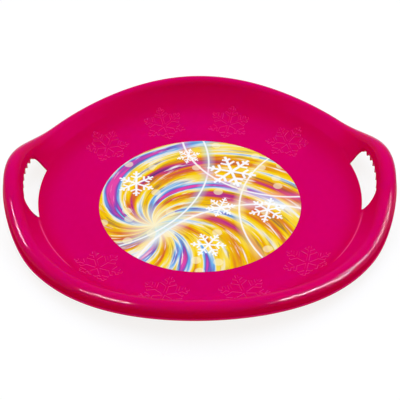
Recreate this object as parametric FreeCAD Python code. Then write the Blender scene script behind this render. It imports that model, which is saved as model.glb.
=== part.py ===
import FreeCAD, Part
import math
import os

# Saucer sled: an oval dish with a waved, rolled rim, two hand openings and raised snow crystals,
# and a printed film disc set into its floor.
# Millimetres. +Z is up, +X runs across the two grips, +Y to the back.
# The origin is under the middle of the floor.

# Plan of the rim, and the heights of its crest above the floor's upper face
overall_width = 600.0
overall_length = 572.0
diagonal_tuck = 1.3
grip_rise = 82.0
dip_rise = 40.0
end_rise = 56.7
dip_angle = math.radians(33.8)

# Dish: flat floor, curved bowl up to the crease, then the upper wall
wall = 3.0
crease_rise = 26.0
crease_side_inset = 48.0
crease_end_inset = 36.0
crease_fullness = 14.0
crease_hold_angle = math.radians(25.0)
bowl_angle = math.radians(50.0)
steepest_wall = math.radians(70.0)

# Rolled rim and the lip round its lower edge
grip_roll_radius = 14.0
end_roll_radius = 10.5
skirt_depth = 11.0
lip_reach = 2.0
lip_thickness = 2.2

# Hand openings, cut straight down, and the finger grooves under each grip
grip_width = 32.0
opening_length = 118.0
opening_setback = 1.5
outer_corner_radius = 8.0
front_corner_radius = 14.0
inner_corner_radius = 3.0
groove_count = 7
groove_pitch = 16.0
groove_depth = 2.0
groove_radius = 7.8
groove_tilt = math.radians(13.0)

# Raised snow crystals on the bowl
crystal_inset = 39.0
crystal_angles = (math.radians(15.5), math.radians(46.3))
crystal_arm = 36.5
crystal_branch = 12.0
crystal_twig = 7.0
crystal_branch_share = 0.5
crystal_twig_share = 0.76
crystal_ridge = 4.0
crystal_height = 0.7
crystal_arms = 6

# Printed film
label_margin = 35.4
label_thickness = 0.4
label_clearance = 0.2

# Length by which cutting tools pass the faces that they cut, and how near its place an edge is looked for
overrun = 5.0
edge_match = 0.1

# How finely the rings are set out, and where the faces round the dish meet: clear of openings and crystals
ring_points = 48
sector_start = math.radians(22.5)
sector_bounds = (0, 9, 18, 24, 33, 42, 48)
layer_sections = 10
bowl_shares = (0.0, 0.25, 0.5, 0.75, 1.0)
wall_shares = (0.0, 0.5, 1.0)
roll_shares = tuple(i / 8 for i in range(9))

floor_top = wall
bowl_radius = crease_rise / (1.0 - math.cos(bowl_angle))
crease_width = overall_width - 2 * crease_side_inset
crease_length = overall_length - 2 * crease_end_inset
least_crease_radius = min(crease_width, crease_length) / 2
crystal_ring_radius = least_crease_radius - crystal_inset
bowl_start_radius = least_crease_radius - bowl_radius * math.sin(bowl_angle)
label_radius = bowl_start_radius - label_margin
opening_inner_radius = crease_width / 2 - opening_setback
opening_outer_radius = overall_width / 2 - grip_width


def ease(share):
    """Smooth step from 0 to 1."""
    share = min(max(share, 0.0), 1.0)
    return 0.5 - 0.5 * math.cos(math.pi * share)


def from_side(angle):
    """Angle from the nearer end of the X axis, 0 at the grips and a right angle at the front and back."""
    return abs((angle + math.pi / 2) % math.pi - math.pi / 2)


def oval_radius(angle):
    """Plan radius of the oval that the rim and the crease follow."""
    mean = (overall_width + overall_length) / 4
    swing = (overall_width - overall_length) / 4
    return mean + swing * math.cos(2 * angle)


def rim_radius(angle):
    """Plan radius of the lip's outer edge."""
    return oval_radius(angle) - diagonal_tuck * (1.0 - math.cos(4 * angle)) / 2


def crest_rise(angle):
    """Height of the rim's crest above the floor."""
    side = from_side(angle)
    if side < dip_angle:
        return grip_rise + (dip_rise - grip_rise) * ease(side / dip_angle)
    return dip_rise + (end_rise - dip_rise) * ease((side - dip_angle) / (math.pi / 2 - dip_angle))


def crease_radius(angle):
    """Plan radius of the crease between the bowl and the upper wall: inset from the oval, and fuller than it."""
    turn = ease((from_side(angle) - crease_hold_angle) / (math.pi / 2 - crease_hold_angle))
    inset = crease_side_inset + (crease_end_inset - crease_side_inset) * turn
    return oval_radius(angle) - inset + crease_fullness * (math.sin(angle) ** 2 - turn)


def roll_radius(angle):
    """Radius of the rim's roll, widest at the grips."""
    return grip_roll_radius + (end_roll_radius - grip_roll_radius) * ease(from_side(angle) / (math.pi / 2))


def roll_centre(angle):
    return rim_radius(angle) - lip_reach - roll_radius(angle), crest_rise(angle) - roll_radius(angle)


def wall_slopes(angle):
    """Slope of the upper wall at the crease, and where it runs into the roll."""
    run = roll_centre(angle)[0] - crease_radius(angle)
    rise = roll_centre(angle)[1] - crease_rise
    radius = roll_radius(angle)
    reach = math.hypot(run, rise)
    straight = math.atan2(rise, run) + math.asin(radius / reach)
    start = max(min(straight, bowl_angle), 2 * straight - steepest_wall)
    across = radius - run * math.sin(start) + rise * math.cos(start)
    bend = 2 * across / (reach**2 - radius**2)
    end = math.atan2(math.sin(start) + bend * run, math.cos(start) - bend * rise)
    return start, end


def bowl_point(angle, share, depth):
    """Point at a share of the bowl's sweep, at a depth under its upper face."""
    if share == 1.0:
        return crease_point(angle, depth)
    turn = bowl_angle * share
    centre = crease_radius(angle) - bowl_radius * math.sin(bowl_angle)
    radius = bowl_radius + depth
    return centre + radius * math.sin(turn), bowl_radius - radius * math.cos(turn)


def crease_point(angle, depth):
    half = (wall_slopes(angle)[0] - bowl_angle) / 2
    mitre = depth / math.cos(half)
    slope = bowl_angle + half
    return crease_radius(angle) + mitre * math.sin(slope), crease_rise - mitre * math.cos(slope)


def wall_point(angle, share, depth):
    """Point at a share of the upper wall, which is an arc that meets the roll without a break."""
    if share == 0.0:
        return crease_point(angle, depth)
    start, end = wall_slopes(angle)
    top_r, top_z = roll_point(angle, 0.0, 0.0)
    chord = math.hypot(top_r - crease_radius(angle), top_z - crease_rise)
    bend = end - start
    length = chord * (math.sin(bend * share / 2) / math.sin(bend / 2) if bend else share)
    lean = start + bend * share / 2
    slope = start + bend * share
    r = crease_radius(angle) + length * math.cos(lean) + depth * math.sin(slope)
    return r, crease_rise + length * math.sin(lean) - depth * math.cos(slope)


def roll_point(angle, share, depth):
    """Point at a share of the roll's sweep, from the upper wall over the crest to the skirt."""
    centre_r, centre_z = roll_centre(angle)
    end = wall_slopes(angle)[1]
    slope = end - share * (end + math.pi / 2)
    radius = roll_radius(angle) - depth
    return centre_r - radius * math.sin(slope), centre_z + radius * math.cos(slope)


def skirt_foot(angle, reach, height):
    """Point near the rim's lower edge, by its reach outside the skirt and its height over that edge."""
    return rim_radius(angle) - lip_reach + reach, roll_centre(angle)[1] - skirt_depth + height


def ring(section):
    """Closed smooth wire through the points that a section gives round the dish, cut at the sector bounds."""
    points = []
    for i in range(ring_points):
        angle = sector_start + 2 * math.pi * i / ring_points
        r, z = section(angle)
        points.append(FreeCAD.Vector(r * math.cos(angle), r * math.sin(angle), floor_top + z))
    curve = Part.BSplineCurve()
    curve.interpolate(Points=points, PeriodicFlag=True, Parameters=list(range(ring_points + 1)))
    return Part.Wire([curve.toShape(low, high) for low, high in zip(sector_bounds, sector_bounds[1:])])


def skin(sections, ruled=False):
    """Faces through a row of rings, one for each sector."""
    return Part.makeLoft([ring(section) for section in sections], False, ruled).Faces


def layer(point, shares, depth):
    return [lambda angle, share=share: point(angle, share, depth) for share in shares]


def dish():
    """Closed solid of the dish, its rolled rim and its lip."""
    strips = ((bowl_point, bowl_shares), (wall_point, wall_shares), (roll_point, roll_shares))
    top = [layer(point, shares, 0.0) for point, shares in strips]
    under = [layer(point, shares, wall) for point, shares in strips]
    foot = [
        top[-1][-1],
        lambda angle: skirt_foot(angle, 0.0, lip_thickness),
        lambda angle: skirt_foot(angle, lip_reach, lip_thickness),
        lambda angle: skirt_foot(angle, lip_reach, 0.0),
        lambda angle: skirt_foot(angle, -wall, 0.0),
        under[-1][-1],
    ]
    faces = [Part.Face(ring(top[0][0])), Part.Face(ring(under[0][0]))]
    for sections in top + under:
        faces += skin(sections)
    for pair in zip(foot, foot[1:]):
        faces += skin(pair, ruled=True)
    shell = Part.makeShell(faces)
    shell.sewShape()
    return Part.makeSolid(shell)


def at(radius, angle):
    return FreeCAD.Vector(radius * math.cos(angle), radius * math.sin(angle), 0)


def upright(outline):
    """Solid that stands on a closed plan outline and passes the whole dish, below and above."""
    face = Part.Face(outline)
    face.translate(FreeCAD.Vector(0, 0, -overrun))
    return face.extrude(FreeCAD.Vector(0, 0, floor_top + grip_rise + 2 * overrun))


def rounded(solid, radius, plan_radius, sides):
    """The solid with its upright edges at a plan radius rounded, in front (-1), behind (1) or both."""
    edges = []
    for edge in solid.Edges:
        middle = edge.CenterOfMass
        off = abs(math.hypot(middle.x, middle.y) - plan_radius)
        if edge.BoundBox.ZLength > grip_rise and off < edge_match and math.copysign(1, middle.y) in sides:
            edges.append(edge)
    return solid.makeFillet(radius, edges)


def hand_opening():
    """Cutter for the opening on the +X side: an arched slot with rounded corners."""
    half = math.asin(opening_length / 2 / opening_inner_radius)
    near = [at(opening_inner_radius, a) for a in (-half, 0.0, half)]
    far = [at(opening_outer_radius, a) for a in (half, 0.0, -half)]
    ends = [Part.LineSegment(near[2], far[0]), Part.LineSegment(far[2], near[0])]
    sides = [Part.Arc(*near), ends[0], Part.Arc(*far), ends[1]]
    slot = upright(Part.Wire([side.toShape() for side in sides]))
    slot = rounded(slot, outer_corner_radius, opening_outer_radius, (1,))
    slot = rounded(slot, front_corner_radius, opening_outer_radius, (-1,))
    return rounded(slot, inner_corner_radius, opening_inner_radius, (-1, 1))


def finger_groove(angle):
    """Leaning cylinder that hollows the lower edge of the +X grip and runs out before its upper edge."""
    edge_depth = wall / math.cos(wall_slopes(angle)[1])
    edge_height = floor_top + wall_point(angle, 1.0, 0.0)[1] - edge_depth
    up = FreeCAD.Vector(-math.sin(groove_tilt), 0, math.cos(groove_tilt))
    foot = FreeCAD.Vector(opening_outer_radius + groove_depth - groove_radius, 0, edge_height) - up * overrun
    groove = Part.makeCylinder(groove_radius, edge_depth + 2 * overrun, foot, up)
    groove.rotate(FreeCAD.Vector(), FreeCAD.Vector(0, 0, 1), math.degrees(angle))
    return groove


def both_sides(shapes):
    """The shapes of the +X grip and their mirror images."""
    return shapes + [shape.mirror(FreeCAD.Vector(), FreeCAD.Vector(1, 0, 0)) for shape in shapes]


def finger_grooves():
    middle = (groove_count - 1) / 2
    return [finger_groove((i - middle) * groove_pitch / opening_outer_radius) for i in range(groove_count)]


def crystal_arm_points():
    """Outline of one arm along +X, from the notch beside the next arm round to its other flank."""
    half = crystal_ridge / 2
    lean = 2 * math.pi / crystal_arms
    along = FreeCAD.Vector(math.cos(lean), math.sin(lean), 0)
    aside = FreeCAD.Vector(-along.y, along.x, 0) * half
    flank = [FreeCAD.Vector(half / math.tan(lean / 2), half, 0)]
    for place_share, length in ((crystal_branch_share, crystal_branch), (crystal_twig_share, crystal_twig)):
        root = FreeCAD.Vector(crystal_arm * place_share, 0, 0)
        for edge in (root + aside, root - aside):
            corners = [edge + along * ((half - edge.y) / along.y), edge + along * length]
            flank += corners if edge.x < root.x else corners[::-1]
    flank.append(FreeCAD.Vector(crystal_arm, half, 0))
    return flank + [FreeCAD.Vector(p.x, -p.y, 0) for p in reversed(flank[1:])]


def laid(point):
    """Plan point of a flat drawing's point, once the drawing is laid up the bowl without stretching it outwards."""
    reach = math.hypot(point.x, point.y)
    climb = max(reach - bowl_start_radius, 0.0)
    return point * ((reach - climb + bowl_radius * math.sin(climb / bowl_radius)) / reach)


def crystal_column(angle):
    """Upright solid of one crystal at an angle from the X axis, with an arm that points outwards."""
    points = []
    for i in range(crystal_arms):
        spin = FreeCAD.Rotation(FreeCAD.Vector(0, 0, 1), math.degrees(angle) - 360.0 * i / crystal_arms)
        points += [laid(at(crystal_ring_radius, angle) + spin.multVec(p)) for p in crystal_arm_points()]
    return upright(Part.makePolygon(points + points[:1]))


def crystal_layer():
    """Layer over one quarter of the bowl, from inside the wall up to the crystals' upper face."""
    inner = crystal_ring_radius - crystal_arm - overrun
    wires = []
    for i in range(layer_sections):
        angle = sector_start + (math.pi / 2 - sector_start) * i / (layer_sections - 1)
        edges = []
        for depth in (-crystal_height, wall / 2):
            profile = [(inner, -depth)]
            profile += [bowl_point(angle, share, depth) for share in bowl_shares]
            profile += [wall_point(angle, share, depth) for share in wall_shares[1:]]
            curve = Part.BSplineCurve()
            curve.interpolate([at(r, angle) + FreeCAD.Vector(0, 0, floor_top + z) for r, z in profile])
            edges.append(curve.toShape())
        top, under = edges
        inside = Part.makeLine(under.Vertexes[0].Point, top.Vertexes[0].Point)
        outside = Part.makeLine(top.Vertexes[-1].Point, under.Vertexes[-1].Point)
        wires.append(Part.Wire([inside, top, outside, under]))
    return Part.makeLoft(wires, True)


def crystals():
    """Eight raised crystals: two in one quarter of the dish, mirrored to the other three."""
    cover = crystal_layer()
    ridges = [crystal_column(math.pi / 2 - angle).common(cover) for angle in crystal_angles]
    for axis in (FreeCAD.Vector(1, 0, 0), FreeCAD.Vector(0, 1, 0)):
        ridges += [ridge.mirror(FreeCAD.Vector(), axis) for ridge in ridges]
    return ridges


def label_disc(radius):
    return Part.makeCylinder(radius, label_thickness, FreeCAD.Vector(0, 0, floor_top - label_thickness))


def sled_shell():
    """The dish with its hand openings, finger grooves, label recess and raised crystals."""
    body = dish()
    body = body.cut(both_sides([hand_opening()]) + [label_disc(label_radius + label_clearance)])
    body = body.cut(both_sides(finger_grooves()))
    return body.fuse(crystals()).Solids[0]


os.makedirs("parts", exist_ok=True)
sled_shell().exportStep("parts/sled_shell.step")
label_disc(label_radius).exportStep("parts/printed_label.step")
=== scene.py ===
import math

import bpy
import numpy as np
from mathutils import Matrix, Vector
from mathutils.geometry import delaunay_2d_cdt

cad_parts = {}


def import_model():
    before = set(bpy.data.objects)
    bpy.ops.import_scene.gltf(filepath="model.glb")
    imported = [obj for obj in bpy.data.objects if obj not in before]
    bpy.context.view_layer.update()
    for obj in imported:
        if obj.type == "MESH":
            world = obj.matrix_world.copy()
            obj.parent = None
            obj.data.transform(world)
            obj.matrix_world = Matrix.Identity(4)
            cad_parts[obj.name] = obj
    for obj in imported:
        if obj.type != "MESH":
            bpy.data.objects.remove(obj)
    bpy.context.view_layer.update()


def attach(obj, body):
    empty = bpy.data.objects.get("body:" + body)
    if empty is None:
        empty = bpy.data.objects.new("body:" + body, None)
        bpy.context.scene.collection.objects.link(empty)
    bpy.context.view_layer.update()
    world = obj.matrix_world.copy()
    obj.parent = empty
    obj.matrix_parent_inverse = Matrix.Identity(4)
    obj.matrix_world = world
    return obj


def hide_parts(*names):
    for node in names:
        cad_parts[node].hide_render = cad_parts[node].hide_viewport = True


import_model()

# Saucer sled in its frame: +X runs across the grips, +Y to the back, +Z up.
# Sizes are in millimetres, as the solids have them, and meshes are written in metres.
mm = 0.001

# Plan of the rim, and the heights of its crest above the floor's upper face
overall_width = 600.0
overall_length = 572.0
diagonal_tuck = 1.3
grip_rise = 82.0
dip_rise = 40.0
end_rise = 56.7
dip_angle = math.radians(33.8)

# Dish: flat floor, curved bowl up to the crease, then the upper wall
wall = 3.0
crease_rise = 26.0
crease_side_inset = 48.0
crease_end_inset = 36.0
crease_fullness = 14.0
crease_hold_angle = math.radians(25.0)
bowl_angle = math.radians(50.0)
steepest_wall = math.radians(70.0)
crease_softness = 3.0
bowl_radius = crease_rise / (1.0 - math.cos(bowl_angle))
bowl_end_radius = min(overall_width / 2 - crease_side_inset, overall_length / 2 - crease_end_inset)
bowl_start_radius = bowl_end_radius - bowl_radius * math.sin(bowl_angle)

# Rolled rim and the lip round its lower edge
grip_roll_radius = 14.0
end_roll_radius = 10.5
skirt_depth = 11.0
lip_reach = 2.0
lip_thickness = 2.2
skirt_fillet = 0.8
lip_round = 1.0
foot_round = 0.8

# Hand openings, the length beyond their ends over which the mesh's rows go back to the dish's own lines,
# and the finger grooves under each grip
opening_inner_radius = 250.5
opening_outer_radius = 268.0
opening_length = 118.0
outer_corner_radius = 8.0
front_corner_radius = 14.0
inner_corner_radius = 3.0
relax_reach = 22.0
groove_count = 7
groove_pitch = 16.0
groove_depth = 1.5
groove_fullness = 0.75
edge_softness = 0.6
opening_half_angle = math.asin(opening_length / 2 / opening_inner_radius)

# Raised snow crystals on the bowl, which slope from the foot of their flanks to the crown
crystal_ring_radius = 211.0
crystal_angles = (math.radians(15.5), math.radians(46.3))
crystal_arm = 36.5
crystal_branch = 12.0
crystal_twig = 7.0
crystal_branch_share = 0.5
crystal_twig_share = 0.76
crystal_foot = 2.4
crystal_crown = 1.4
crystal_height = 0.9
crystal_arms = 6
crystal_branches = ((crystal_branch_share, crystal_branch), (crystal_twig_share, crystal_twig))

# Longest edge of a crystal's outlines, the steps between them up the flank, and the space kept clear
# of the dish's own points round its middle lines
crystal_step = 3.0
crystal_steps = 4
crystal_clear = 3.8

# Printed film in its recess
label_radius = 158.84
label_thickness = 0.4
label_clearance = 0.2
label_edge = 0.12
label_columns = 240
label_rings = (0.66, 0.33)

# How finely the shell is divided, and the row and radius at which the windows for the crystals start
column_step = 1.1
corner_columns = 9
end_columns = (0.6, 1.4, 2.6, 4.5, 7.0, 10.0)
quarter_columns = 60
relief_inner_radius = 162.6
relief_row = 1
bowl_rows = 22
crease_row_steps = (0.75, 1.5, 2.25, 3.0, 4.5)
wall_rows = 7
shoulder_rows = 3
roll_rows = 22
inner_roll_rows = 12
fillet_steps = 4

# Step over which a slope is worked out, distance at which two points are one,
# and how often a range is halved to find a place in it
nudge = 0.02
merge_distance = 0.0002
halvings = 40

# Camera, from the photograph: view of the floor's middle from the front,
# with the focal length as a share of the picture's width
view_elevation = math.radians(40.163)
view_turn = math.radians(1.338)
view_roll = math.radians(-0.477)
view_distance = 1421.1
view_offset_right = 0.03
view_offset_down = 1.48
view_focal_share = 900.0 / 400.0
sensor_width = 36.0

# Colours of the plastic: its own tones, a painted highlight colour for edges that catch the light, and a
# painted shade colour for steep walls; then how far the painted highlight covers those edges, the crystals'
# flanks and the lip
plastic_deep = (0.585, 0.0, 0.107, 1.0)
plastic_light = (0.600, 0.0, 0.115, 1.0)
plastic_painted_highlight = (0.85, 0.05, 0.24, 1.0)
# Painted shade: a deeper colour that stands in for the shade on steep walls
plastic_painted_shade = (0.570, 0.0, 0.075, 1.0)
painted_highlight_share = 0.9
crystal_shine = 0.6
lip_shine = 0.25

# Slopes of the upper face between which the painted shade of steep walls comes in
painted_shade_start = math.radians(14.0)
painted_shade_full = math.radians(48.0)

# Painted highlight along the crease: angles from the X axis where it starts and ends, the turn over which
# it fades there, its half width, and how sharply it keeps to the front
crease_shine_start = math.radians(13.0)
crease_shine_end = math.radians(44.0)
crease_shine_fade = math.radians(7.0)
crease_shine = 1.1
crease_front = 1.2

# Satin in the dish, and on the rim's outside, where it comes in as the upward part of the normals falls
dish_satin = 0.97
satin_start = 0.45
satin_end = 0.15

# Grain of the plastic, with noise scales in cells to a metre, and how light enters it
noise_range = (0.3, 0.7)
cloud_scale = 7.0
cloud_detail = 3.0
gloss_scale = 60.0
gloss_detail = 4.0
gloss_grain = 0.6
plastic_roughness = (0.06, 0.09)
plastic_specular = 0.025
peel_scale = 420.0
peel_strength = 0.05
peel_depth = 0.0004
subsurface_weight = 0.5
subsurface_radius = (1.0, 0.05, 0.08)
subsurface_scale = 0.005

# Print on the film, in label radii from its middle: a burst of bent light rays from one side,
# big arcs that cross it, soft dots and small snow crystals
burst_place = (-0.45, -0.35)
burst_twist = 1.3
burst_stretch = 0.3
ray_colours = (
    (0.00, (0.10, 0.03, 0.16, 1.0)),
    (0.12, (0.50, 0.03, 0.20, 1.0)),
    (0.22, (0.62, 0.10, 0.03, 1.0)),
    (0.34, (0.72, 0.30, 0.01, 1.0)),
    (0.48, (0.86, 0.56, 0.00, 1.0)),
    (0.60, (0.88, 0.68, 0.08, 1.0)),
    (0.68, (0.80, 0.78, 0.66, 1.0)),
    (0.78, (0.14, 0.42, 0.72, 1.0)),
    (0.88, (0.16, 0.07, 0.42, 1.0)),
    (1.00, (0.72, 0.06, 0.34, 1.0)),
)
print_light = (0.90, 0.89, 0.84, 1.0)
print_dark = (0.16, 0.07, 0.06, 1.0)
print_glow = (0.92, 0.85, 0.55, 1.0)
print_crystal = (0.90, 0.93, 0.95, 1.0)
film_grain_scale = 60.0
film_roughness = (0.22, 0.32)

# Noise that colours the rays, and where each tone comes in over it and how far it covers
ray_scale = 2.6
fine_ray_scale = 13.0
ray_detail = 3.0
ray_grain = 0.55
ray_range = (0.31, 0.69)
dark_range = (0.44, 0.30)
dark_share = 0.7
light_range = (0.60, 0.72)
light_share = 0.9
glow_range = (0.02, 0.34)
glow_share = 0.9

# Arcs: middle, radius, half width and glow of each, then how wide and strong the glow and the pale core are
arcs = (
    (0.55, -1.35, 1.28, 0.016, (0.90, 0.90, 0.86, 1.0)),
    (-1.25, 0.65, 1.36, 0.013, (0.20, 0.62, 0.80, 1.0)),
    (0.95, 1.15, 1.12, 0.015, (0.80, 0.12, 0.42, 1.0)),
    (1.60, -0.20, 1.22, 0.012, (0.88, 0.80, 0.30, 1.0)),
)
arc_glow_reach = 6.0
arc_glow_share = 0.4
arc_core_reach = 0.4
arc_core_share = 0.9

# Dots: cells to a label radius, where a dot's edge fades, how far it covers, and which cells have one
dot_scale = 4.6
dot_range = (0.20, 0.23)
dot_share = 0.5
dot_choice = (0.60, 0.62)

# Printed crystals: middle, size and turn of each, place and length of the branches on an arm,
# half width of the lines, where they fade at their sides and ends, and how far they cover
print_crystals = (
    (0.34, 0.46, 0.26, 0.3),
    (0.66, -0.16, 0.19, 0.8),
    (0.06, -0.64, 0.17, 0.1),
    (-0.64, 0.30, 0.20, 0.5),
    (-0.10, 0.74, 0.13, 0.7),
    (0.20, -0.10, 0.15, 0.9),
)
print_arms = 6
print_branches = ((0.45, 0.34), (0.72, 0.20))
print_line = 0.055
print_arm_side = (0.7, 1.3)
print_arm_end = 0.98
print_branch_side = (0.6, 1.2)
print_branch_end = 0.92
print_crystal_share = 0.92

# Studio, in metres: floor, level of the surroundings, and the lamps
floor_reach = 20.0
floor_glow = 0.85
floor_bounce = (0.62, 0.40, 0.14, 1.0)
ambient_level = 0.42
ambient_colour = (1.35, 0.90, 0.12, 1.0)
key_radiance = 1.97
key_colour = (0.76, 1.05, 1.62)
key_place = (0.20, -0.05, 2.57)
key_size = 3.4
middle_height = 0.05

# Strip lamps for the highlights on the rim: name, shape, both ends, height and radiance
strip_colour = (1.0, 1.0, 1.25)
strips = (
    ("front_left_strip", "ELLIPSE", (-1.030, -0.440, 0.530), (-0.650, -0.710, 0.790), 0.34, 200.0),
    ("front_right_strip", "ELLIPSE", (0.700, -0.930, 0.490), (0.950, -0.400, 0.660), 0.24, 260.0),
    ("front_right_bend", "RECTANGLE", (0.930, -0.420, 0.660), (1.160, -0.370, 0.270), 0.24, 250.0),
    ("right_strip", "RECTANGLE", (1.170, -0.120, 0.260), (0.980, -0.050, 0.800), 0.24, 72.0),
    ("left_strip", "ELLIPSE", (-0.3075, -0.066, 0.122), (-0.2985, -0.131, 0.083), 0.02, 260.0),
)


def ease(share):
    """Smooth step from 0 to 1."""
    return 0.5 - 0.5 * np.cos(np.pi * np.clip(share, 0.0, 1.0))


def from_side(angle):
    """Angle from the nearer end of the X axis."""
    return np.abs((angle + np.pi / 2) % np.pi - np.pi / 2)


def oval_radius(angle):
    """Plan radius of the oval that the rim and the crease follow."""
    mean = (overall_width + overall_length) / 4
    swing = (overall_width - overall_length) / 4
    return mean + swing * np.cos(2 * angle)


def rim_radius(angle):
    """Plan radius of the lip's outer edge."""
    return oval_radius(angle) - diagonal_tuck * (1.0 - np.cos(4 * angle)) / 2


def crest_rise(angle):
    """Height of the rim's crest above the floor."""
    side = from_side(angle)
    near = grip_rise + (dip_rise - grip_rise) * ease(side / dip_angle)
    far = dip_rise + (end_rise - dip_rise) * ease((side - dip_angle) / (np.pi / 2 - dip_angle))
    return np.where(side < dip_angle, near, far)


def crease_radius(angle):
    """Plan radius of the crease between the bowl and the upper wall."""
    turn = ease((from_side(angle) - crease_hold_angle) / (np.pi / 2 - crease_hold_angle))
    inset = crease_side_inset + (crease_end_inset - crease_side_inset) * turn
    return oval_radius(angle) - inset + crease_fullness * (np.sin(angle) ** 2 - turn)


def roll_radius(angle):
    """Radius of the rim's roll, widest at the grips."""
    return grip_roll_radius + (end_roll_radius - grip_roll_radius) * ease(from_side(angle) / (np.pi / 2))


def roll_centre(angle):
    """Plan radius and height of the middle of the rim's roll."""
    return rim_radius(angle) - lip_reach - roll_radius(angle), crest_rise(angle) - roll_radius(angle)


def wall_slopes(angle):
    """Slope of the upper wall at the crease and at the roll, and its curvature."""
    centre_r, centre_z = roll_centre(angle)
    run = centre_r - crease_radius(angle)
    rise = centre_z - crease_rise
    radius = roll_radius(angle)
    reach = np.hypot(run, rise)
    straight = np.arctan2(rise, run) + np.arcsin(radius / reach)
    start = np.maximum(np.minimum(straight, bowl_angle), 2 * straight - steepest_wall)
    across = radius - run * np.sin(start) + rise * np.cos(start)
    bend = 2 * across / (reach**2 - radius**2)
    end = np.arctan2(np.sin(start) + bend * run, np.cos(start) - bend * rise)
    return start, end, bend


def roll_start(angle):
    """Plan radius at which the upper wall runs into the roll."""
    return roll_centre(angle)[0] - roll_radius(angle) * np.sin(wall_slopes(angle)[1])


def top_height(angle, r):
    """Height of the dish's upper face, from the middle to the start of the roll, with a softened crease."""
    crease = crease_radius(angle)
    start, _, bend = wall_slopes(angle)
    beyond = np.maximum(r - crease, 0.0)
    sweep = np.clip((r - crease) / bowl_radius + np.sin(bowl_angle), 0.0, np.sin(bowl_angle))
    bowl = bowl_radius * (1.0 - np.sqrt(1.0 - sweep**2))
    sine = np.clip(np.sin(start) + bend * beyond, -1.0, 1.0)
    lift = beyond * (np.sin(start) + sine) / (np.cos(start) + np.sqrt(1.0 - sine**2))
    fold = np.tan(bowl_angle) - np.tan(start)
    blend = np.clip(1.0 - np.abs(r - crease) / crease_softness, 0.0, 1.0) ** 2
    return bowl + lift - blend * fold * crease_softness / 4


def placed(angle, r, z):
    """Points from cylinder coordinates, with heights counted from the floor's upper face."""
    angle, r, z = np.broadcast_arrays(angle, r, z)
    return np.stack([r * np.cos(angle), r * np.sin(angle), z + wall], axis=-1)


def unit(vectors):
    """Vectors of length 1."""
    return vectors / np.linalg.norm(vectors, axis=-1, keepdims=True)


def top_slope(angle, r):
    """How steeply the upper face rises outwards."""
    return (top_height(angle, r + nudge) - top_height(angle, r - nudge)) / (2 * nudge)


def top_points(angle, r):
    """Points and normals on the upper face."""
    turn = nudge / overall_width
    across = (top_height(angle + turn, r) - top_height(angle - turn, r)) / (2 * turn * np.maximum(r, nudge))
    along = top_slope(angle, r)
    east = across * np.sin(angle) - along * np.cos(angle)
    north = -across * np.cos(angle) - along * np.sin(angle)
    normals = unit(np.stack([east, north, np.ones_like(east)], axis=-1))
    return placed(angle, r, top_height(angle, r)), normals


def crease_painted_highlight(angle, r):
    """How far points of the upper face show the painted highlight along the crease, in front of the grips."""
    side = from_side(angle)
    start = ease((side - crease_shine_start) / crease_shine_fade)
    end = ease((crease_shine_end - side) / crease_shine_fade)
    front = ease(0.5 - crease_front * np.sin(angle))
    return front * (start * end) * np.exp(-(((r - crease_radius(angle)) / crease_shine) ** 2))


def under_points(angle, station):
    """Points and normals on the underside, a wall's thickness from the upper face at a station."""
    slope = np.arctan(top_slope(angle, station))
    r = station + wall * np.sin(slope)
    return placed(angle, r, top_height(angle, station) - wall * np.cos(slope)), -top_points(angle, station)[1]


def station_under(angle, r):
    """Station of the upper face that has a given plan radius on the underside below it."""
    low = r - wall
    high = r
    for _ in range(halvings):
        middle = (low + high) / 2
        inside = middle + wall * np.sin(np.arctan(top_slope(angle, middle))) < r
        low = np.where(inside, middle, low)
        high = np.where(inside, high, middle)
    return (low + high) / 2


def along_opening(angle):
    """Distance from the middle of the nearer opening, measured round its outer edge."""
    return from_side(angle) * opening_outer_radius


def corner_cut(angle, radius):
    """How far a rounded corner of the opening stands in from its straight edge."""
    past = along_opening(angle) - (opening_half_angle * opening_outer_radius - radius)
    return radius - np.sqrt(radius**2 - np.clip(past, 0.0, radius) ** 2)


def relaxed(angle, held, free):
    """A radius that an opening holds along its length and that goes free beyond its ends."""
    beyond = along_opening(angle) - opening_half_angle * opening_outer_radius
    return held + (free - held) * ease(beyond / relax_reach)


def opening_foot(angle):
    """Plan radius of the opening's lower edge, and of the row that goes on from it round the dish."""
    setback = overall_width / 2 - crease_side_inset - opening_inner_radius
    held = opening_inner_radius + corner_cut(angle, inner_corner_radius)
    return relaxed(angle, held, crease_radius(angle) - setback)


def opening_head(angle):
    """Plan radius of the opening's upper edge, and of the row that goes on from it round the dish."""
    setback = roll_start(np.zeros(1))[0] - opening_outer_radius
    corner = np.where(np.sin(angle) < 0.0, front_corner_radius, outer_corner_radius)
    held = opening_outer_radius - corner_cut(angle, corner)
    return relaxed(angle, held, roll_start(angle) - setback)


def groove(angle):
    """Depth of the finger grooves at the lower edge of the grip."""
    along = np.abs(along_opening(angle))
    index = np.round(along / groove_pitch)
    off = along - index * groove_pitch
    wave = 0.5 + 0.5 * np.cos(2 * np.pi * off / groove_pitch)
    return np.where(index <= (groove_count - 1) / 2, groove_depth * wave**groove_fullness, 0.0)


def column_angles():
    """Angles of the columns round the dish: close along the openings and round their corners."""
    end = opening_half_angle * opening_outer_radius
    straight = end - outer_corner_radius
    steps = round(straight / column_step)
    quarter = [straight * i / steps for i in range(steps + 1)]
    for i in range(corner_columns):
        quarter.append(straight + outer_corner_radius * math.sin(math.pi / 2 * (i + 1) / corner_columns))
    quarter += [end + reach for reach in end_columns]
    quarter = [along / opening_outer_radius for along in quarter]
    last = quarter[-1]
    quarter += [last + (math.pi / 2 - last) * (i + 1) / quarter_columns for i in range(quarter_columns)]
    half = quarter + [math.pi - angle for angle in reversed(quarter[:-1])]
    return np.array(half + [math.pi + angle for angle in half[1:-1]])


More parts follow.
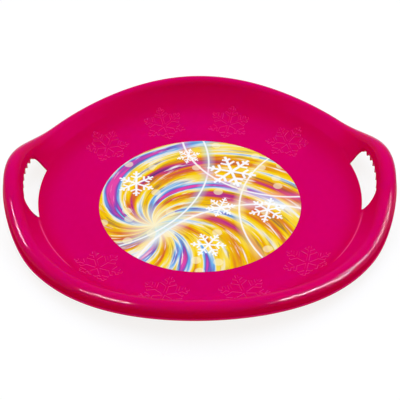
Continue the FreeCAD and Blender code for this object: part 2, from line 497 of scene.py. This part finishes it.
def rounded_path(corners, radii):
    """Points along a polyline whose inner corners are rounded."""
    points = [np.array(corners[0])]
    for before, here, after, radius in zip(corners, corners[1:], corners[2:], radii):
        corner = np.array(here)
        back = unit(np.array(before) - corner)
        ahead = unit(np.array(after) - corner)
        half = np.arccos(np.clip(back @ ahead, -1.0, 1.0)) / 2
        middle = corner + unit(back + ahead) * radius / np.sin(half)
        first = corner + back * radius / np.tan(half) - middle
        last = corner + ahead * radius / np.tan(half) - middle
        for i in range(fillet_steps + 1):
            share = i / fillet_steps
            points.append(middle + unit(first * (1.0 - share) + last * share) * radius)
    return points + [np.array(corners[-1])]


def rim_section(angle):
    """Plan radii and heights of the rim's rows: over the roll, down to the lip, round it and back inside."""
    centre_r, centre_z = roll_centre(angle)
    outer = roll_radius(angle)
    inner = outer - wall
    end = wall_slopes(angle)[1]
    rows = []
    for i in range(roll_rows + 1):
        slope = end - (end + np.pi / 2) * i / roll_rows
        rows.append((centre_r - outer * np.sin(slope), centre_z + outer * np.cos(slope)))
    corners = [
        (0.0, skirt_depth),
        (0.0, lip_thickness),
        (lip_reach, lip_thickness),
        (lip_reach, 0.0),
        (-wall, 0.0),
        (-wall, skirt_depth),
    ]
    path = rounded_path(corners, (skirt_fillet, lip_round, lip_round, foot_round))
    for reach, height in path[1:-1]:
        rows.append((rim_radius(angle) - lip_reach + reach, centre_z - skirt_depth + height))
    for i in range(inner_roll_rows + 1):
        slope = -np.pi / 2 + (end + np.pi / 2) * i / inner_roll_rows
        rows.append((centre_r - inner * np.sin(slope), centre_z + inner * np.cos(slope)))
    return np.array([row[0] for row in rows]), np.array([row[1] for row in rows])


def rim_points(angle):
    """Points and normals of the rim's rows."""
    points = placed(angle, *rim_section(angle))
    turn = nudge / overall_width
    ahead = placed(angle + turn, *rim_section(angle + turn))
    behind = placed(angle - turn, *rim_section(angle - turn))
    down = np.gradient(points, axis=0)
    return points, unit(np.cross(down, ahead - behind))


def painted_wall_shade(normals):
    """How far the painted shade of the walls shows, by how steep the upper face is."""
    tilt = np.arccos(np.clip(normals[..., 2], -1.0, 1.0))
    return ease((tilt - painted_shade_start) / (painted_shade_full - painted_shade_start))


def rim_finish_and_painted_light(angle, normals):
    """Finish and painted light of the rim's rows: painted shade on the walls up to the crest, satin skirt and
    lip, and a painted highlight line on the lip.
    """
    outward = normals[..., 0] * np.cos(angle) + normals[..., 1] * np.sin(angle) > 0.0
    satin = np.where(outward, ease((satin_start - normals[..., 2]) / (satin_start - satin_end)), 0.0)
    satin[roll_rows + 1 :] = 1.0
    # Painted shade on the inner walls up to the crest, none on the outside
    tone = np.where(outward, 0.0, painted_wall_shade(normals))
    tone[roll_rows + 1 :] = 0.0
    # Painted highlight: a lighter line on the lip's upper round
    edge = np.zeros_like(tone)
    lip_row = roll_rows + 1 + fillet_steps
    edge[lip_row : lip_row + fillet_steps] = lip_shine
    return {"edge": edge, "satin": satin, "wall": tone}


class Builder:
    """Collects points with their normals, and faces, for one mesh."""

    def __init__(self):
        self.points = []
        self.normals = []
        # Satin finish, and painted light: edge is a painted highlight, wall a painted shade
        self.finish_and_painted_light = {"edge": [], "satin": [], "wall": []}
        self.faces = []

    def add(self, points, normals, **finish_and_painted_light):
        """Adds points, with how far each shows the satin finish, painted highlight or painted shade, and
        gives their numbers in the same layout.
        """
        first = len(self.points)
        self.points += list(points.reshape(-1, 3))
        self.normals += list(normals.reshape(-1, 3))
        for name, values in self.finish_and_painted_light.items():
            values += list(np.broadcast_to(finish_and_painted_light.get(name, 0.0), points.shape[:-1]).ravel())
        return first + np.arange(points.size // 3).reshape(points.shape[:-1])

    def strip(self, rows, keep=None):
        """Faces between the rows of a grid that closes on itself."""
        following = np.roll(rows, -1, axis=1)
        for k in range(len(rows) - 1):
            for c in range(rows.shape[1]):
                if keep is None or keep[k, c]:
                    self.faces.append((rows[k, c], rows[k + 1, c], following[k + 1, c], following[k, c]))

    def fan(self, ring, point, normal):
        """Triangles from a ring to one point."""
        (middle,) = self.add(np.array([point]), np.array([normal]))
        self.faces += [(a, b, middle) for a, b in zip(ring, np.roll(ring, -1))]

    def mesh(self, name):
        """The mesh of the points in use, in metres and smooth by the normals given."""
        used = sorted({i for face in self.faces for i in face})
        number = {old: new for new, old in enumerate(used)}
        mesh = bpy.data.meshes.new(name)
        points = [tuple(self.points[i] * mm) for i in used]
        mesh.from_pydata(points, [], [[number[i] for i in face] for face in self.faces])
        mesh.update()
        mesh.normals_split_custom_set_from_vertices([tuple(self.normals[i]) for i in used])
        for kind, values in self.finish_and_painted_light.items():
            finish_and_painted_light = mesh.attributes.new(kind, "FLOAT", "POINT")
            finish_and_painted_light.data.foreach_set("value", [float(values[i]) for i in used])
        return mesh


def top_rows(angle):
    """Plan radii of the upper face's rows, and the numbers of the opening's lower and upper rows."""
    foot = opening_foot(angle)
    head = opening_head(angle)
    start = roll_start(angle)
    rows = [np.full_like(angle, label_radius + label_clearance + label_edge)]
    edge = foot - edge_softness
    for i in range(bowl_rows + 1):
        rows.append(relief_inner_radius + (edge - relief_inner_radius) * i / bowl_rows)
    foot_row = len(rows)
    rows.append(foot)
    rows += [foot + step for step in crease_row_steps]
    base = rows[-1]
    rows += [base + (head - base) * (i + 1) / wall_rows for i in range(wall_rows)]
    head_row = len(rows) - 1
    edge = head + edge_softness
    rows += [edge + (start - edge) * i / shoulder_rows for i in range(shoulder_rows)]
    return np.array(rows), foot_row, head_row


def crystal_segments():
    """Middle lines of one crystal: its arms, and the branches and twigs on both sides of each."""
    lines = []
    spread = 2 * math.pi / crystal_arms
    for i in range(crystal_arms):
        turn = 2 * math.pi * i / crystal_arms
        arm = complex(math.cos(turn), math.sin(turn))
        lines.append((0j, arm * crystal_arm))
        for place_share, length in crystal_branches:
            root = arm * crystal_arm * place_share
            for side in (1, -1):
                lean = complex(math.cos(spread), side * math.sin(spread))
                lines.append((root, root + arm * lean * length))
    return lines


def crystal_distance(spots):
    """Distance of plan points, as complex numbers, from the crystal's middle lines."""
    nearest = np.full(spots.shape, np.inf)
    for first, last in crystal_segments():
        line = last - first
        share = np.clip(((spots - first) * np.conj(line)).real / abs(line) ** 2, 0.0, 1.0)
        nearest = np.minimum(nearest, np.abs(spots - first - line * share))
    return nearest


def crystal_outline(half):
    """Closed outline of one crystal at a distance from its middle lines, with long edges divided."""
    spread = half - crystal_crown
    lean = 2 * math.pi / crystal_arms
    along = complex(math.cos(lean), math.sin(lean))
    flank = [complex(half / math.tan(lean / 2), half)]
    for place_share, length in crystal_branches:
        root = crystal_arm * place_share
        for side in (1, -1):
            edge = root + along * 1j * half * side
            corners = [edge + along * (half - edge.imag) / along.imag, edge + along * (length + spread)]
            flank += corners if side > 0 else corners[::-1]
    flank.append(complex(crystal_arm + spread, half))
    arm = flank + [spot.conjugate() for spot in reversed(flank[1:])]
    corners = []
    for i in range(crystal_arms):
        turn = complex(math.cos(lean * i), -math.sin(lean * i))
        corners += [spot * turn for spot in arm]
    outline = []
    for first, last in zip(corners, corners[1:] + corners[:1]):
        pieces = max(1, math.ceil(abs(last - first) / crystal_step))
        outline += [first + (last - first) * i / pieces for i in range(pieces)]
    return np.array(outline)


def laid_radius(reach):
    """Plan radius of points whose distance from the middle is measured along the floor and up the bowl."""
    turn = np.clip((reach - bowl_start_radius) / bowl_radius, 0.0, bowl_angle)
    beyond = np.maximum(reach - bowl_start_radius - bowl_radius * bowl_angle, 0.0)
    return np.minimum(reach, bowl_start_radius) + bowl_radius * np.sin(turn) + beyond * np.cos(bowl_angle)


def flat_reach(r):
    """Distance from the middle, measured along the floor and up the bowl, of points at a plan radius."""
    turn = np.arcsin(np.clip((r - bowl_start_radius) / bowl_radius, 0.0, np.sin(bowl_angle)))
    beyond = np.maximum(r - bowl_end_radius, 0.0)
    return np.minimum(r, bowl_start_radius) + bowl_radius * turn + beyond / np.cos(bowl_angle)


def crystal_points(middle, turn, spots, share):
    """Points, normals, finish and painted light of one outline of a crystal, laid up the bowl.

    The flank rises smoothly with the share, from 0 at its foot to 1 at the crown, and has a painted
    highlight, strongest half way.
    """
    flat = middle + spots * turn
    angle = np.angle(flat)
    r = laid_radius(np.abs(flat))
    points, normals = top_points(angle, r)
    # Smooth step of the share, and its slope
    raise_share = share**2 * (3.0 - 2.0 * share)
    raise_slope = 6.0 * share * (1.0 - share)
    steepness = raise_slope * crystal_height / (crystal_foot - crystal_crown)
    east = crystal_distance(spots + nudge) - crystal_distance(spots - nudge)
    north = crystal_distance(spots + nudge * 1j) - crystal_distance(spots - nudge * 1j)
    away = (east + 1j * north) / (2 * nudge) * turn * np.exp(-1j * angle)
    slope = np.arctan(top_slope(angle, r))
    outward = away.real * np.cos(slope) + 1j * away.imag
    level = outward * np.exp(1j * angle)
    tilt = np.stack([level.real, level.imag, away.real * np.sin(slope)], axis=-1) * steepness
    # Painted highlight on the flank, strongest half way up, and painted shade where the bowl is steep
    edge = 4.0 * share * (1.0 - share) * crystal_shine
    finish_and_painted_light = {"edge": edge, "satin": dish_satin, "wall": painted_wall_shade(normals)}
    return points + normals * crystal_height * raise_share, unit(normals + tilt), finish_and_painted_light


def window_places(first, last, high):
    """Rows and columns of one window of the upper face: those round its rim, and those inside."""
    between = range(relief_row + 1, high)
    window = range(first, last + 1)
    rim = [(relief_row, c) for c in window]
    rim += [(k, last) for k in between]
    rim += [(high, c) for c in reversed(window)]
    rim += [(k, first) for k in reversed(between)]
    return rim, [(k, c) for k in between for c in window[1:-1]]


def add_crystal(shell, grid, rows, angles, centre_angle, head_row):
    """Fills one window of the upper face with triangles that follow a crystal. Gives the window's columns."""
    reach = math.asin((crystal_arm + crystal_foot + crystal_clear) / crystal_ring_radius)
    first = int(np.searchsorted(angles, centre_angle - reach)) - 1
    last = int(np.searchsorted(angles, centre_angle + reach))
    rim, inside = window_places(first, last, head_row)
    middle = crystal_ring_radius * complex(math.cos(centre_angle), math.sin(centre_angle))
    turn = middle / abs(middle)
    flats = [flat_reach(rows[k, c]) * np.exp(1j * angles[c]) for k, c in rim + inside]
    numbers = [grid[k, c] for k, c in rim + inside]
    clear = crystal_distance((np.array(flats) - middle) / turn) > crystal_clear
    clear[: len(rim)] = True
    spots = [spot for spot, kept in zip(flats, clear) if kept]
    numbers = [number for number, kept in zip(numbers, clear) if kept]
    edges = []
    for i in range(crystal_steps + 1):
        share = i / crystal_steps
        outline = crystal_outline(crystal_foot + (crystal_crown - crystal_foot) * share)
        points, normals, finish_and_painted_light = crystal_points(middle, turn, outline, share)
        begin = len(spots)
        spots += list(middle + outline * turn)
        numbers += list(shell.add(points, normals, **finish_and_painted_light))
        edges += [(begin + j, begin + (j + 1) % len(outline)) for j in range(len(outline))]
    flat = [Vector((spot.real, spot.imag)) for spot in spots]
    inside_only = 1
    result = delaunay_2d_cdt(flat, edges, [list(range(len(rim)))], inside_only, merge_distance)
    _, _, faces, origins, _, _ = result
    for face in faces:
        shell.faces.append(tuple(numbers[origins[i][0]] for i in face))
    return first, last


def opening_walls(shell, top, under, columns, foot_row, head_row):
    """Cut faces of one opening, from its edge on the upper face to its edge on the underside."""
    loop = [(foot_row, c) for c in columns]
    loop += [(k, columns[-1]) for k in range(foot_row + 1, head_row)]
    loop += [(head_row, c) for c in columns[::-1]]
    loop += [(k, columns[0]) for k in range(head_row - 1, foot_row, -1)]
    upper = np.array([top[k, c] for k, c in loop])
    lower = np.array([under[k, c] for k, c in loop])
    high = np.array([shell.points[i] for i in upper])
    low = np.array([shell.points[i] for i in lower])
    along = np.roll(high + low, -1, axis=0) - np.roll(high + low, 1, axis=0)
    facing = unit(np.cross(along, high - low))
    for i, normal in zip(np.concatenate([upper, lower]), np.concatenate([facing, facing])):
        shell.normals[i] = unit(shell.normals[i] + normal)
    drop = np.linalg.norm(high - low, axis=1, keepdims=True)
    rings = [upper]
    for share in (edge_softness / drop, 0.5, 1.0 - edge_softness / drop):
        rings.append(shell.add(high + (low - high) * share, facing))
    rings.append(lower)
    shell.strip(np.array(rings))


def under_stations(angle, rows, foot_row, head_row):
    """Stations of the underside's rows, which meet the openings where the upper face's rows do."""
    stations = rows.copy()
    for k in range(foot_row, head_row + 1):
        cut = groove(angle) * (from_side(angle) < opening_half_angle) if k == head_row else 0.0
        stations[k] = station_under(angle, rows[k] + cut)
    for k in range(relief_row, foot_row):
        share = (k - relief_row) / (foot_row - relief_row)
        stations[k] = relief_inner_radius + (stations[foot_row] - relief_inner_radius) * share
    start = roll_start(angle)
    for i, k in enumerate(range(head_row + 1, len(rows))):
        share = (i + 1) / (len(rows) - head_row)
        stations[k] = stations[head_row] + (start - stations[head_row]) * share
    return stations


def crystal_centres():
    """Angles of the crystals round the dish."""
    centres = []
    for quarter in range(4):
        for angle in crystal_angles:
            centre = math.pi * (quarter // 2) + (math.pi / 2 - angle) * (1 if quarter % 2 else -1)
            centres.append(centre % (2 * math.pi))
    return centres


def at_opening(angles, side):
    """Which angles lie along the opening at one side."""
    return np.cos(angles - side) > math.cos(opening_half_angle + nudge / overall_width)


def label_recess(shell, angles, edge_ring):
    """Recess for the film, from the ring of the upper face round it: wall with softened edges, and floor."""
    recess = label_radius + label_clearance
    up = np.broadcast_to([0.0, 0.0, 1.0], (len(angles), 3))
    inward = np.stack([-np.cos(angles), -np.sin(angles), np.zeros_like(angles)], axis=-1)
    depths = (label_edge, label_thickness - label_edge)
    walls = [shell.add(placed(angles, recess, -depth), inward) for depth in depths]
    floor = shell.add(placed(angles, recess - label_edge, -label_thickness), up)
    shell.strip(np.array([floor, walls[1], walls[0], edge_ring]))
    shell.fan(floor, (0.0, 0.0, wall - label_thickness), (0.0, 0.0, 1.0))


def shell_mesh():
    """The moulded dish: upper face with crystals, rim, underside, openings and label recess."""
    shell = Builder()
    angles = column_angles()
    rows, foot_row, head_row = top_rows(angles)
    turns = np.broadcast_to(angles, rows.shape)
    places, normals = top_points(turns, rows)
    # Painted highlight along the crease, and painted shade on the steep walls
    edge = crease_painted_highlight(turns, rows)
    top = shell.add(places, normals, edge=edge, satin=dish_satin, wall=painted_wall_shade(normals))
    under = shell.add(*under_points(turns, under_stations(angles, rows, foot_row, head_row)))
    places, normals = rim_points(angles)
    rim = shell.add(places, normals, **rim_finish_and_painted_light(angles, normals))

    sides = (0.0, math.pi)
    keep = np.ones((len(rows), len(angles)), dtype=bool)
    for side in sides:
        inside = at_opening(angles, side) & at_opening(np.roll(angles, -1), side)
        keep[foot_row:head_row, inside] = False
    under_keep = keep.copy()
    for centre in crystal_centres():
        first, last = add_crystal(shell, top, rows, angles, centre, head_row)
        keep[relief_row:head_row, first:last] = False

    shell.strip(np.concatenate([top, rim[:1]]), keep)
    shell.strip(rim)
    shell.strip(np.concatenate([under, rim[-1:]])[::-1], under_keep[::-1])
    for side in sides:
        columns = np.flatnonzero(at_opening(angles, side))
        order = np.argsort((angles[columns] - side + math.pi) % (2 * math.pi))
        opening_walls(shell, top, under, columns[order], foot_row, head_row)
    label_recess(shell, angles, top[0])
    shell.fan(under[0][::-1], (0.0, 0.0, 0.0), (0.0, 0.0, -1.0))
    return shell.mesh("sled_shell_visual")


def label_mesh():
    """The printed film: a thin disc with softened edges."""
    film = Builder()
    angles = np.arange(label_columns) * 2 * math.pi / label_columns
    outward = np.stack([np.cos(angles), np.sin(angles), np.zeros_like(angles)], axis=-1)
    up = np.broadcast_to([0.0, 0.0, 1.0], outward.shape)
    section = [
        (label_radius - label_edge, -label_thickness, -up),
        (label_radius, label_edge - label_thickness, outward),
        (label_radius, -label_edge, unit(outward + up)),
        (label_radius - label_edge, 0.0, up),
    ]
    section += [(label_radius * share, 0.0, up) for share in label_rings]
    rings = [film.add(placed(angles, r, z), normals) for r, z, normals in section]
    film.strip(np.array(rings)[::-1])
    film.fan(rings[-1], (0.0, 0.0, wall), (0.0, 0.0, 1.0))
    film.fan(rings[0][::-1], (0.0, 0.0, wall - label_thickness), (0.0, 0.0, -1.0))
    return film.mesh("printed_label_visual")


def piece(mesh, node, material):
    """Puts a mesh in place of a CAD node."""
    thing = bpy.data.objects.new(mesh.name, mesh)
    bpy.context.scene.collection.objects.link(thing)
    mesh.materials.append(material)
    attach(thing, "root")
    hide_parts(node)


class Nodes:
    """Short way to write one material's nodes and links."""

    def __init__(self, name):
        self.material = bpy.data.materials.new(name)
        self.material.use_nodes = True
        self.tree = self.material.node_tree
        self.shader = self.tree.nodes["Principled BSDF"]

    def add(self, kind, links=(), **settings):
        """Adds a node, sets its properties and links or fills its inputs."""
        node = self.tree.nodes.new(kind)
        for name, value in settings.items():
            setattr(node, name, value)
        for name, value in dict(links).items():
            self.feed(node.inputs[name], value)
        return node

    def feed(self, socket, value):
        """Links a socket to an input, or fills the input with a value."""
        if isinstance(value, bpy.types.NodeSocket):
            self.tree.links.new(value, socket)
        else:
            socket.default_value = value

    def maths(self, operation, *values):
        """Result of a sum on numbers or sockets."""
        node = self.add("ShaderNodeMath", dict(enumerate(values)), operation=operation)
        return node.outputs[0]

    def fit(self, value, from_low, from_high, to_low, to_high):
        """Value carried from one range to another and held inside it."""
        ranges = {"From Min": from_low, "From Max": from_high, "To Min": to_low, "To Max": to_high}
        return self.add("ShaderNodeMapRange", {"Value": value, **ranges}).outputs["Result"]

    def attribute(self, name):
        """How far the mesh shows the satin finish, painted highlight or painted shade."""
        return self.add("ShaderNodeAttribute", attribute_name=name).outputs["Fac"]

    def noise(self, place, scale, detail=2.0, roughness=0.5):
        """Smooth noise about one half."""
        links = {"Vector": place, "Scale": scale, "Detail": detail, "Roughness": roughness}
        return self.add("ShaderNodeTexNoise", links).outputs["Fac"]

    def ramp(self, value, stops):
        """Colour of a value on a scale of coloured stops."""
        node = self.add("ShaderNodeValToRGB", {"Fac": value})
        elements = node.color_ramp.elements
        elements.remove(elements[1])
        elements[0].position, elements[0].color = stops[0]
        for position, colour in stops[1:]:
            elements.new(position).color = colour
        return node.outputs["Color"]

    def polar(self, place, x, y):
        """Distance and angle of a place from a spot."""
        off = self.add("ShaderNodeVectorMath", {0: place, 1: (x, y, 0.0)}, operation="SUBTRACT").outputs[0]
        parts = self.add("ShaderNodeSeparateXYZ", {0: off}).outputs
        length = self.add("ShaderNodeVectorMath", {0: off}, operation="LENGTH").outputs["Value"]
        return length, self.maths("ARCTAN2", parts[1], parts[0])

    def mix(self, share, first, second):
        """Colour between two colours."""
        # A Mix node has its colours at inputs 6 and 7 and output 2, after those for numbers and vectors
        node = self.add("ShaderNodeMix", data_type="RGBA")
        for index, value in ((0, share), (6, first), (7, second)):
            self.feed(node.inputs[index], value)
        return node.outputs[2]


def plastic_material():
    """Moulded polyethylene with faint clouds and orange peel: glossy, or satin where the mesh says so, with
    painted shade on steep walls and painted highlights on edges.
    """
    nodes = Nodes("magenta_plastic")
    inputs = nodes.shader.inputs
    place = nodes.add("ShaderNodeTexCoord").outputs["Object"]
    cloud = nodes.noise(place, cloud_scale, cloud_detail)
    tone = nodes.mix(nodes.fit(cloud, *noise_range, 0.0, 1.0), plastic_deep, plastic_light)
    # Painted shade: the steep walls get a deeper colour, by the mesh's wall attribute
    tone = nodes.mix(nodes.attribute("wall"), tone, plastic_painted_shade)
    # Painted highlight: a lighter colour on the crease, the crystals' flanks and the lip, by the mesh's edge
    # attribute
    edge = nodes.maths("MULTIPLY", nodes.attribute("edge"), painted_highlight_share)
    nodes.feed(inputs["Base Color"], nodes.mix(edge, tone, plastic_painted_highlight))
    gloss = nodes.noise(place, gloss_scale, gloss_detail, gloss_grain)
    nodes.feed(inputs["Roughness"], nodes.fit(gloss, *noise_range, *plastic_roughness))
    peel = {"Height": nodes.noise(place, peel_scale), "Strength": peel_strength, "Distance": peel_depth}
    nodes.feed(inputs["Normal"], nodes.add("ShaderNodeBump", peel).outputs["Normal"])
    specular = nodes.fit(nodes.attribute("satin"), 0.0, 1.0, plastic_specular, 0.0)
    nodes.feed(inputs["Specular IOR Level"], specular)
    inputs["Subsurface Weight"].default_value = subsurface_weight
    inputs["Subsurface Radius"].default_value = subsurface_radius
    inputs["Subsurface Scale"].default_value = subsurface_scale
    return nodes.material


def ray_place(nodes, place):
    """Place in a space where the burst's bent rays lie straight, and the distance from the burst."""
    distance, angle = nodes.polar(place, *burst_place)
    bent = nodes.maths("MULTIPLY_ADD", distance, burst_twist, angle)
    depth = nodes.maths("MULTIPLY", distance, burst_stretch)
    straight = {0: nodes.maths("COSINE", bent), 1: nodes.maths("SINE", bent), 2: depth}
    return nodes.add("ShaderNodeCombineXYZ", straight).outputs[0], distance


def burst_tone(nodes, place):
    """Colour of the burst: broad rays, finer dark and pale ones among them, and a glow where they start."""
    rays, distance = ray_place(nodes, place)
    broad = nodes.noise(rays, ray_scale, ray_detail, ray_grain)
    tone = nodes.ramp(nodes.fit(broad, *ray_range, 0.0, 1.0), ray_colours)
    fine = nodes.noise(rays, fine_ray_scale, ray_detail, ray_grain)
    tone = nodes.mix(nodes.fit(fine, *dark_range, 0.0, dark_share), tone, print_dark)
    tone = nodes.mix(nodes.fit(fine, *light_range, 0.0, light_share), tone, print_light)
    return nodes.mix(nodes.fit(distance, *glow_range, glow_share, 0.0), tone, print_glow)


def with_arcs(nodes, place, tone):
    """A colour with the arcs over it."""
    for x, y, radius, width, colour in arcs:
        distance, _ = nodes.polar(place, x, y)
        off = nodes.maths("ABSOLUTE", nodes.maths("SUBTRACT", distance, radius))
        glow = nodes.fit(off, width, width * arc_glow_reach, arc_glow_share, 0.0)
        core = nodes.fit(off, width * arc_core_reach, width, arc_core_share, 0.0)
        tone = nodes.mix(core, nodes.mix(glow, tone, colour), print_light)
    return tone


def with_dots(nodes, place, tone):
    """A colour with soft dots over it, in some cells of an uneven grid."""
    grid = {"Vector": place, "Scale": dot_scale}
    cells = nodes.add("ShaderNodeTexVoronoi", grid, voronoi_dimensions="2D").outputs
    chosen = nodes.add("ShaderNodeSeparateColor", {0: cells["Color"]}).outputs[0]
    near = nodes.fit(cells["Distance"], *dot_range, dot_share, 0.0)
    dot = nodes.maths("MULTIPLY", near, nodes.fit(chosen, *dot_choice, 0.0, 1.0))
    return nodes.mix(dot, tone, print_glow)


def print_crystal_mask(nodes, place, x, y, size, turn):
    """Mask of one printed snow crystal: six arms with two pairs of branches each."""
    distance, angle = nodes.polar(place, x, y)
    folded = nodes.maths("PINGPONG", nodes.maths("ADD", angle, turn), math.pi / print_arms)
    along = nodes.maths("MULTIPLY", distance, nodes.maths("COSINE", folded))
    aside = nodes.maths("MULTIPLY", distance, nodes.maths("SINE", folded))
    width = size * print_line
    near = nodes.fit(aside, width * print_arm_side[0], width * print_arm_side[1], 1.0, 0.0)
    mask = nodes.maths("MULTIPLY", near, nodes.fit(along, size * print_arm_end, size, 1.0, 0.0))
    lean = 2 * math.pi / print_arms
    for share, length in print_branches:
        past = nodes.maths("SUBTRACT", along, size * share)
        over = nodes.maths("MULTIPLY", aside, math.cos(lean))
        off = nodes.maths("SUBTRACT", nodes.maths("MULTIPLY", past, math.sin(lean)), over)
        off = nodes.maths("ABSOLUTE", off)
        up = nodes.maths("MULTIPLY", aside, math.sin(lean))
        up = nodes.maths("MULTIPLY_ADD", past, math.cos(lean), up)
        near = nodes.fit(off, width * print_branch_side[0], width * print_branch_side[1], 1.0, 0.0)
        reach = nodes.fit(up, size * length * print_branch_end, size * length, 1.0, 0.0)
        behind = nodes.fit(up, -width, 0.0, 0.0, 1.0)
        branch = nodes.maths("MULTIPLY", nodes.maths("MULTIPLY", near, reach), behind)
        mask = nodes.maths("MAXIMUM", mask, branch)
    return mask


def film_material():
    """Matt film with a generic print: a burst of coloured light, arcs, dots and snow crystals."""
    nodes = Nodes("printed_film")
    inputs = nodes.shader.inputs
    scale = 1.0 / (label_radius * mm)
    metres = {0: nodes.add("ShaderNodeTexCoord").outputs["Object"], 1: (scale, scale, 0.0)}
    place = nodes.add("ShaderNodeVectorMath", metres, operation="MULTIPLY").outputs[0]
    tone = burst_tone(nodes, place)
    tone = with_arcs(nodes, place, tone)
    tone = with_dots(nodes, place, tone)
    for x, y, size, turn in print_crystals:
        mask = print_crystal_mask(nodes, place, x, y, size, turn)
        tone = nodes.mix(nodes.maths("MULTIPLY", mask, print_crystal_share), tone, print_crystal)
    nodes.feed(inputs["Base Color"], tone)
    grain = nodes.noise(place, film_grain_scale)
    nodes.feed(inputs["Roughness"], nodes.fit(grain, *noise_range, *film_roughness))
    inputs["Specular IOR Level"].default_value = 0.0
    return nodes.material


def camera():
    """Camera that stands where the photograph's did."""
    right = Vector((1.0, 0.0, 0.0))
    down = Vector((0.0, -math.sin(view_elevation), -math.cos(view_elevation)))
    ahead = Vector((0.0, math.cos(view_elevation), -math.sin(view_elevation)))
    place = -(right * view_offset_right + down * view_offset_down + ahead * view_distance)
    tilted_right = right * math.cos(view_roll) - down * math.sin(view_roll)
    tilted_down = right * math.sin(view_roll) + down * math.cos(view_roll)
    basis = Matrix((tilted_right, -tilted_down, -ahead)).transposed().to_4x4()
    data = bpy.data.cameras.new("camera")
    data.sensor_width = sensor_width
    data.lens = sensor_width * view_focal_share
    thing = bpy.data.objects.new("camera", data)
    bpy.context.scene.collection.objects.link(thing)
    basis.translation = place * mm
    lifted = Matrix.Translation((0.0, 0.0, wall * mm))
    thing.matrix_world = lifted @ Matrix.Rotation(-view_turn, 4, "Z") @ basis
    bpy.context.scene.camera = thing


def lamp(name, shape, place, along, size, radiance, glossy):
    """Soft light that faces the sled, with one side along a direction, for its gloss only or for the rest."""
    data = bpy.data.lights.new(name, "AREA")
    data.shape = shape
    data.size, data.size_y = size
    area = data.size * data.size_y * (math.pi / 4 if shape == "ELLIPSE" else 1.0)
    data.energy = radiance * math.pi * area
    thing = bpy.data.objects.new(name, data)
    bpy.context.scene.collection.objects.link(thing)
    along = along.normalized()
    back = place - Vector((0.0, 0.0, middle_height))
    back = (back - along * back.dot(along)).normalized()
    turn = Matrix((along, back.cross(along), back)).transposed().to_4x4()
    thing.matrix_world = Matrix.Translation(place) @ turn
    thing.visible_camera = False
    thing.visible_diffuse = not glossy
    thing.visible_glossy = glossy
    return thing


def seen_directly(nodes):
    """Socket that is 1 for rays that show a surface, straight on, in gloss or through glass, and else 0."""
    path = nodes.add("ShaderNodeLightPath").outputs
    seen = nodes.maths("MAXIMUM", path["Is Camera Ray"], path["Is Glossy Ray"])
    return nodes.maths("MAXIMUM", seen, path["Is Transmission Ray"])


def world():
    """Even, dim and warm surroundings."""
    studio = bpy.data.worlds.new("studio")
    studio.use_nodes = True
    background = studio.node_tree.nodes["Background"]
    background.inputs["Color"].default_value = ambient_colour
    background.inputs["Strength"].default_value = ambient_level
    bpy.context.scene.world = studio


def floor_material():
    """Pale floor: white to look at, with a soft shadow, and warm and dim in the light that it throws back."""
    nodes = Nodes("floor")
    inputs = nodes.shader.inputs
    seen = seen_directly(nodes)
    rest = 1.0 - floor_glow
    inputs["Roughness"].default_value = 1.0
    inputs["Specular IOR Level"].default_value = 0.0
    inputs["Emission Color"].default_value = (1.0, 1.0, 1.0, 1.0)
    nodes.feed(inputs["Emission Strength"], nodes.maths("MULTIPLY", seen, floor_glow))
    nodes.feed(inputs["Base Color"], nodes.mix(seen, floor_bounce, (rest, rest, rest, 1.0)))
    return nodes.material


def stage():
    """Pale floor and soft studio light."""
    mesh = bpy.data.meshes.new("floor")
    corners = [(-1, -1), (1, -1), (1, 1), (-1, 1)]
    mesh.from_pydata([(x * floor_reach, y * floor_reach, 0.0) for x, y in corners], [], [(0, 1, 2, 3)])
    floor = bpy.data.objects.new("floor", mesh)
    bpy.context.scene.collection.objects.link(floor)
    mesh.materials.append(floor_material())
    world()
    across = Vector((1.0, 0.0, 0.0))
    key = lamp("key", "RECTANGLE", Vector(key_place), across, (key_size, key_size), key_radiance, False)
    key.data.color = key_colour
    for name, shape, first, last, height, radiance in strips:
        along = Vector(last) - Vector(first)
        size = (along.length, height)
        strip = lamp(name, shape, Vector(first) + along / 2, along, size, radiance, True)
        strip.data.color = strip_colour


piece(shell_mesh(), "sled_shell", plastic_material())
piece(label_mesh(), "printed_label", film_material())
camera()
stage()
bpy.context.scene.view_settings.view_transform = "Standard"
